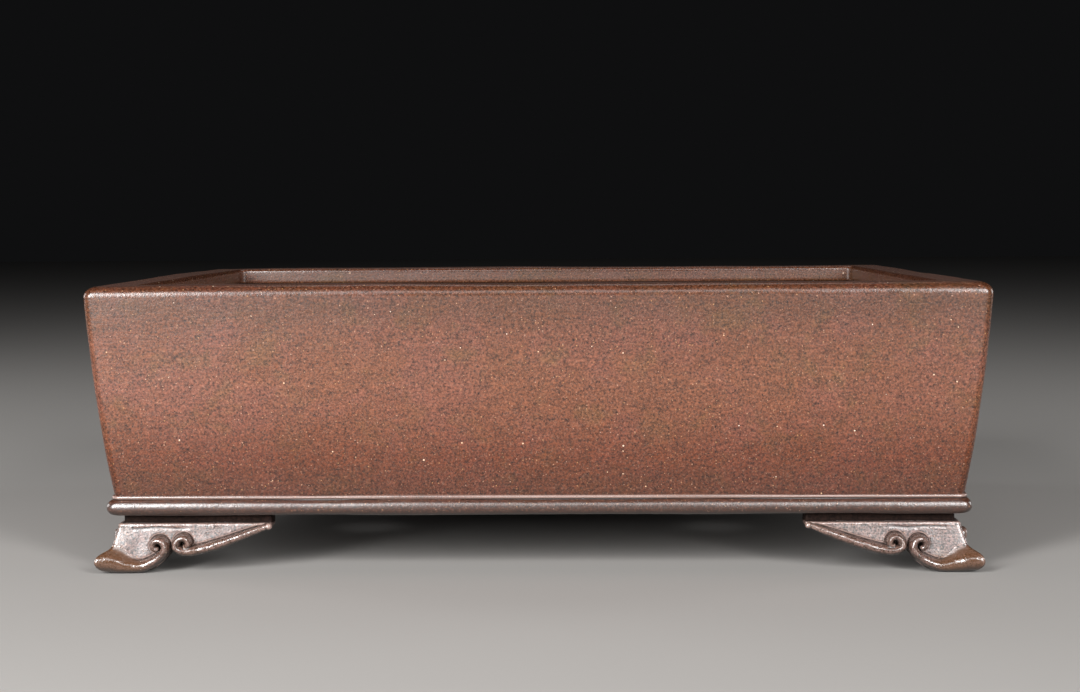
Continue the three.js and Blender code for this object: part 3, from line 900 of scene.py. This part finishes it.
def add_foot(corner, foot_clay, neck_clay, roll_clay):
    """One corner's two pieces: its plates with their neck, and its rolls."""
    foot = f"foot_{CORNER_NAMES[corner]}"
    plates = sculpt(f"{foot}_plates", plate_distance, corner)
    plate_nodes = [f"{foot}_{leg}_plate" for leg in ("long", "short")]
    piece_of(f"clay_{foot}_plates", plates, foot_clay, plate_nodes)
    # The neck's darker, duller clay stands for the deep shade under the band.
    plates.materials.append(neck_clay)
    for face in plates.polygons:
        face.material_index = int(face.center.z > FOOT_SHOULDER + FACE_MARGIN)
    rolls = sculpt(f"{foot}_rolls", rolls_distance, corner)
    roll_nodes = [f"{foot}_{leg}_{roll}_roll" for leg in ("long", "short") for roll in ("toe", "wing")]
    piece_of(f"clay_{foot}_rolls", rolls, roll_clay, roll_nodes)


# ---- fired clay ----


class Wiring:
    """Shader nodes of one material, added and joined up by a name or a number for each input."""

    def __init__(self, name):
        self.material = bpy.data.materials.new(name)
        self.material.use_nodes = True
        self.tree = self.material.node_tree
        self.tree.nodes.clear()

    def node(self, kind, inputs, output=0, **settings):
        made = self.tree.nodes.new(kind)
        for key, value in settings.items():
            setattr(made, key, value)
        for key, value in inputs.items():
            if isinstance(value, bpy.types.NodeSocket):
                self.tree.links.new(value, made.inputs[key])
            else:
                made.inputs[key].default_value = value
        return None if output is None else made.outputs[output]

    def surfaced(self, inputs):
        """The finished material, with these inputs of its shader."""
        shader = self.node("ShaderNodeBsdfPrincipled", inputs)
        self.node("ShaderNodeOutputMaterial", {"Surface": shader}, output=None)
        return self.material

    def math(self, operation, *values):
        return self.node("ShaderNodeMath", dict(enumerate(values)), operation=operation)

    def total(self, *values):
        result = values[0]
        for value in values[1:]:
            result = self.math("ADD", result, value)
        return result

    def scaled(self, value, factor):
        return self.math("MULTIPLY", value, factor)

    def centred(self, noise):
        """A noise's values, moved to lie about zero."""
        return self.math("SUBTRACT", noise, 0.5)

    def remap(self, value, low, high, new_low=0.0, new_high=1.0, smooth=True):
        inputs = {"Value": value, 1: low, 2: high, 3: new_low, 4: new_high}
        kind = "SMOOTHSTEP" if smooth else "LINEAR"
        return self.node("ShaderNodeMapRange", inputs, interpolation_type=kind)

    def noise(self, place, wavelength, detail=2.0, roughness=0.5, distortion=0.0):
        inputs = {
            "Vector": place, "Scale": 1 / wavelength, "Detail": detail, "Roughness": roughness,
            "Distortion": distortion,
        }
        return self.node("ShaderNodeTexNoise", inputs)

    def stretched(self, place, x, y, z):
        return self.node("ShaderNodeMapping", {"Vector": place, "Scale": (x, y, z)})

    def attribute(self, name):
        return self.node("ShaderNodeAttribute", {}, output=2, attribute_name=name)

    def mixed(self, factor, a, b, blend="MIX"):
        inputs = {0: factor, 6: a, 7: b}
        return self.node("ShaderNodeMix", inputs, output=2, data_type="RGBA", blend_type=blend)

    def ramp(self, value, stops):
        ramp = self.node("ShaderNodeValToRGB", {"Fac": value}).node
        elements = ramp.color_ramp.elements
        while len(elements) < len(stops):
            elements.new(1.0)
        for element, (position, colour) in zip(elements, stops):
            element.position = position
            element.color = (*colour, 1.0)
        return ramp.outputs["Color"]

    def specks(self, place, spacing, share, radius, seed):
        """Round grains: how much of a grain is at each place, and a random number for each grain."""
        moved = self.node("ShaderNodeMapping", {"Vector": place, "Location": (seed, seed * 0.7, seed * 0.3)})
        cells = self.node("ShaderNodeTexVoronoi", {"Vector": moved, "Scale": 1 / spacing}).node
        chance = self.node("ShaderNodeSeparateColor", {"Color": cells.outputs["Color"]}).node
        chosen = self.math("LESS_THAN", chance.outputs[0], share)
        size = self.math("MULTIPLY_ADD", chance.outputs[1], 0.6, 0.7)
        reach = self.math("DIVIDE", cells.outputs["Distance"], size)
        edge = radius / spacing
        inside = self.remap(reach, edge * 0.75, edge * 1.15, 1.0, 0.0)
        return self.math("MULTIPLY", inside, chosen), chance.outputs[2]


def paint(hex_colour):
    """A linear colour from the usual six digits, by the sRGB curve."""
    channels = [int(hex_colour[i:i + 2], 16) / 255 for i in (0, 2, 4)]
    return (*[((c + 0.055) / 1.055) ** 2.4 if c > 0.04 else c / 12.92 for c in channels], 1.0)


CLAY_TONES = ("5d3623", "62392e", "563d22")  # body, mauve and olive
# The inside's tones are the body's made darker, as painted shade inside the pot.
SHADED_INNER_TONES = ("4e2c1c", "532f26", "48331b")  # the same at 0.7 of the brightness
# The feet's tones are lighter and greyer than the body's: partly the clay's own tone, partly a painted sheen.
FOOT_TONES = ("503d38", "544443", "4c4034")
NECK_TONES = ("1d120e", "1f1411", "1b120c")
SAND = "c89a82"
BRIGHT_SPECKS = ("e2ccba", "c9a078")  # from cream to gold
DIM_SPECKS = ("b08a78", "ac7f4e")  # from pink to buff
PIT = "21110d"
BRONZE = "50341f"
# The next three paint light and shade: shade in grooves, a highlight on ridges, and shade on undersides.
GROOVE = "140a07"
RIDGE_HIGHLIGHT = "a98f86"
UNDERSIDE = "1c110a"
SHIFT = (1.3, 2.1, 0.7)  # sets one noise apart from another

# A tint over the height, from the ground to the rim, which paints light and shade into the colour: darker and
# redder towards the foot, for shade that the floor's light would otherwise fill; brightest at mid height, as
# a painted pool of light; and dull olive under the rim and dark on its top, as a painted dark reflection.
PAINTED_LIGHT_BY_HEIGHT = (
    (0.0, (0.26, 0.19, 0.12)),
    (0.23, (0.26, 0.19, 0.12)),
    (0.29, (0.55, 0.45, 0.40)),
    (0.40, (0.72, 0.53, 0.39)),
    (0.53, (0.93, 0.86, 0.82)),
    (0.66, (1.0, 1.0, 1.0)),
    (0.81, (0.87, 0.85, 0.86)),
    (0.93, (0.58, 0.59, 0.52)),
    (0.965, (0.62, 0.62, 0.58)),
    (1.0, (0.42, 0.36, 0.30)),
)


def mottled(w, place, moved, tones):
    """The body's tone with mauve and olive mottles."""
    body, mauve, olive = (paint(tone) for tone in tones)
    broad = w.noise(place, 30 * MM, detail=3, roughness=0.6, distortion=0.3)
    second = w.noise(moved, 16 * MM, detail=4, roughness=0.65, distortion=0.4)
    colour = w.mixed(w.scaled(w.remap(broad, 0.42, 0.66), 0.55), body, mauve)
    return w.mixed(w.scaled(w.remap(second, 0.50, 0.70), 0.45), colour, olive)


def grained(w, place, colour, scrape, grain):
    """A colour varied in brightness by the clay's fine grain, small clouds and scraping."""
    fine = w.centred(w.noise(place, 1.05 * MM, detail=2, roughness=0.75))
    clouds = w.centred(w.noise(place, 4.5 * MM, detail=3, roughness=0.6))
    shade = w.total(
        w.scaled(fine, 3.9 * grain),
        w.scaled(clouds, 0.5),
        w.scaled(w.centred(scrape), 0.5 * grain),
        1.0,
    )
    return w.node("ShaderNodeHueSaturation", {"Value": shade, "Color": colour})


def specked(w, place, moved, colour, glints, pitting):
    """A colour with sand, specks and pits, and where the bright specks and the pits are."""
    sand_grain = w.noise(moved, 0.8 * MM, detail=2, roughness=0.8)
    sand = w.remap(sand_grain, 0.50, 0.78, new_high=1.8 * glints)
    colour = w.mixed(sand, colour, paint(SAND))
    bright, bright_tone = w.specks(place, 3.4 * MM, share=glints, radius=0.32 * MM, seed=0.37)
    dim, dim_tone = w.specks(place, 1.5 * MM, share=3 * glints, radius=0.24 * MM, seed=0.71)
    pits, _ = w.specks(place, 2.2 * MM, share=pitting, radius=0.30 * MM, seed=0.53)
    bright_colour = w.mixed(bright_tone, *map(paint, BRIGHT_SPECKS))
    dim_colour = w.mixed(dim_tone, *map(paint, DIM_SPECKS))
    colour = w.mixed(w.scaled(dim, 0.6), colour, dim_colour)
    colour = w.mixed(w.scaled(pits, 0.6), colour, paint(PIT))
    return w.mixed(w.scaled(bright, 0.9), colour, bright_colour), bright, pits


def rubbed_and_painted_light(w, colour, bend, burnished, ridge_highlight):
    """A colour rubbed to bronze, with a painted highlight on ridges, and painted shade in grooves and on
    undersides, where the floor's light would otherwise fill the shade."""
    colour = w.mixed(w.scaled(burnished, 0.75), colour, paint(BRONZE))
    # Painted shade in grooves.
    colour = w.mixed(w.remap(bend, -0.15, -0.9, new_high=0.8), colour, paint(GROOVE))
    # A painted highlight on ridges.
    colour = w.mixed(w.remap(bend, 0.5, 1.2, new_high=ridge_highlight), colour, paint(RIDGE_HIGHLIGHT))
    # Painted shade on faces that look downwards.
    facing = w.node("ShaderNodeNewGeometry", {}, output=1)
    facing_up = w.node("ShaderNodeSeparateXYZ", {"Vector": facing}, output=2)
    return w.mixed(w.remap(facing_up, -0.15, -0.8, new_high=0.75), colour, paint(UNDERSIDE))


def clay_material(name, tones, roughness, shine, ior=1.5, grain=1.0, pitting=0.2, glints=0.1, ridge_highlight=0.45,
                  painted_light_by_height=None):
    """Unglazed purple clay with grog, faintly scraped along the slab. Pitting and glints are the shares of
    places with a pit and with a bright speck."""
    w = Wiring(name)
    place = w.node("ShaderNodeTexCoord", {}, output=3)
    moved = w.node("ShaderNodeMapping", {"Vector": place, "Location": SHIFT})
    scrape = w.noise(w.stretched(place, 0.06, 0.06, 1), 1.0 * MM, detail=2, roughness=0.6)
    colour = grained(w, place, mottled(w, place, moved, tones), scrape, grain)
    # The tint by height paints light and shade into the colour.
    if painted_light_by_height:
        height_share = w.node("ShaderNodeSeparateXYZ", {"Vector": place}, output=2)
        height_share = w.remap(height_share, 0.0, RIM_TOP, smooth=False)
        colour = w.mixed(1.0, colour, w.ramp(height_share, painted_light_by_height), blend="MULTIPLY")
    colour, bright, pits = specked(w, place, moved, colour, glints, pitting)
    bend = w.attribute("bend")
    burnished = w.attribute("burnish")
    colour = rubbed_and_painted_light(w, colour, bend, burnished, ridge_highlight)
    gloss = w.total(
        w.scaled(w.centred(w.noise(place, 2.2 * MM, detail=3, roughness=0.6)), 0.16),
        w.scaled(w.remap(bend, 0.04, 0.18), -0.16),
        w.scaled(burnished, -0.10),
        roughness,
    )
    height = w.total(
        w.scaled(w.noise(place, 0.9 * MM, detail=2, roughness=0.6), 0.070 * MM * grain),
        w.scaled(w.noise(place, 3.2 * MM, detail=3, roughness=0.55), 0.09 * MM * grain),
        w.scaled(scrape, 0.05 * MM * grain),
        w.scaled(bright, 0.06 * MM),
        w.scaled(pits, -0.16 * MM),
    )
    normal = w.node("ShaderNodeBump", {"Height": height, "Strength": 1.0, "Distance": 1.0})
    inputs = {
        "Base Color": colour, "Roughness": gloss, "Normal": normal, "Specular IOR Level": shine, "IOR": ior,
    }
    return w.surfaced(inputs)


# ---- stage ----

FLOOR_REACH = 6
FLOOR_GREY = "8a8784"
FLOOR_ROUGHNESS = 0.9
AIM = (0, 0, 0.08)  # near the middle of the pot
LIGHTS = (  # name, place, size and power
    ("left_box", (-0.72, -1.15, 0.60), (0.32, 0.80), 30),
    ("right_box", (0.76, -1.25, 0.64), (0.32, 0.80), 24),
    ("top_box", (0, -1.10, 0.95), (0.9, 0.4), 4),
    ("left_wash", (-0.60, -0.80, 0.26), (0.3, 0.3), 2),
    ("left_edge", (-1.3, 0.35, 0.35), (0.3, 0.5), 5),
    ("right_edge", (1.3, 0.35, 0.35), (0.3, 0.5), 4),
    ("back_box", (0, 1.0, 1.7), (1.0, 0.8), 2.5),
)
ROOM_TONE = "e6e8ee"
ROOM_STRENGTH = 0.006
CAMERA_PLACE = (0.0166, -0.8963, 0.1572)
CAMERA_LENS = 57.72
CAMERA_TURN = 1.125  # degrees
CAMERA_DIP = 4.182
CAMERA_ROLL = -0.332


def add_floor():
    mesh = bpy.data.meshes.new("floor")
    corners = [(sign_x * FLOOR_REACH, sign_y * FLOOR_REACH, 0) for sign_x, sign_y in CORNER_SIGNS]
    mesh.from_pydata(corners, [], [(0, 1, 2, 3)])
    grey = Wiring("grey_floor").surfaced({"Base Color": paint(FLOOR_GREY), "Roughness": FLOOR_ROUGHNESS})
    mesh.materials.append(grey)
    floor = bpy.data.objects.new("floor", mesh)
    bpy.context.scene.collection.objects.link(floor)


def add_light(name, place, size, power):
    """A soft rectangular light that faces the pot."""
    lamp = bpy.data.lights.new(name, "AREA")
    lamp.shape = "RECTANGLE"
    lamp.size, lamp.size_y = size
    lamp.energy = power
    light = bpy.data.objects.new(name, lamp)
    light.location = place
    light.rotation_euler = (Vector(AIM) - Vector(place)).to_track_quat("-Z", "Y").to_euler()
    bpy.context.scene.collection.objects.link(light)


def add_world():
    world = bpy.data.worlds.new("dim_room")
    world.use_nodes = True
    background = world.node_tree.nodes["Background"]
    background.inputs["Color"].default_value = paint(ROOM_TONE)
    background.inputs["Strength"].default_value = ROOM_STRENGTH
    bpy.context.scene.world = world


def add_camera():
    """A camera just above the rim, a little to the right of the pot's middle, and turned back towards it."""
    data = bpy.data.cameras.new("camera")
    data.sensor_width = 36
    data.lens = CAMERA_LENS
    camera = bpy.data.objects.new("camera", data)
    turn = Matrix.Rotation(math.radians(CAMERA_TURN), 4, "Z")
    pitch = Matrix.Rotation(math.radians(90 - CAMERA_DIP), 4, "X")
    roll = Matrix.Rotation(math.radians(CAMERA_ROLL), 4, "Z")
    camera.matrix_world = Matrix.Translation(CAMERA_PLACE) @ turn @ pitch @ roll
    bpy.context.scene.collection.objects.link(camera)
    bpy.context.scene.camera = camera


purple_clay = clay_material("purple_clay", CLAY_TONES, 0.44, shine=0.6, painted_light_by_height=PAINTED_LIGHT_BY_HEIGHT)
shaded_inner_clay = clay_material("shaded_inner_clay", SHADED_INNER_TONES, 0.44, shine=0.6)
band_clay = clay_material("band_clay", CLAY_TONES, 0.50, shine=1.0, ior=1.62, painted_light_by_height=PAINTED_LIGHT_BY_HEIGHT)
foot_clay = clay_material("foot_clay", FOOT_TONES, 0.47, shine=1.0, ior=1.58, grain=2.0, pitting=0.5)
roll_clay = clay_material(
    "burnished_roll_clay", FOOT_TONES, 0.44, shine=1.0, ior=1.58, grain=1.8, pitting=0.4
)
neck_clay = clay_material("shaded_neck_clay", NECK_TONES, 0.8, shine=0.1, glints=0, ridge_highlight=0)
add_body(purple_clay, shaded_inner_clay, band_clay)
for corner in range(4):
    add_foot(corner, foot_clay, neck_clay, roll_clay)
add_floor()
for light in LIGHTS:
    add_light(*light)
add_world()
add_camera()
bpy.context.scene.view_settings.view_transform = "Standard"
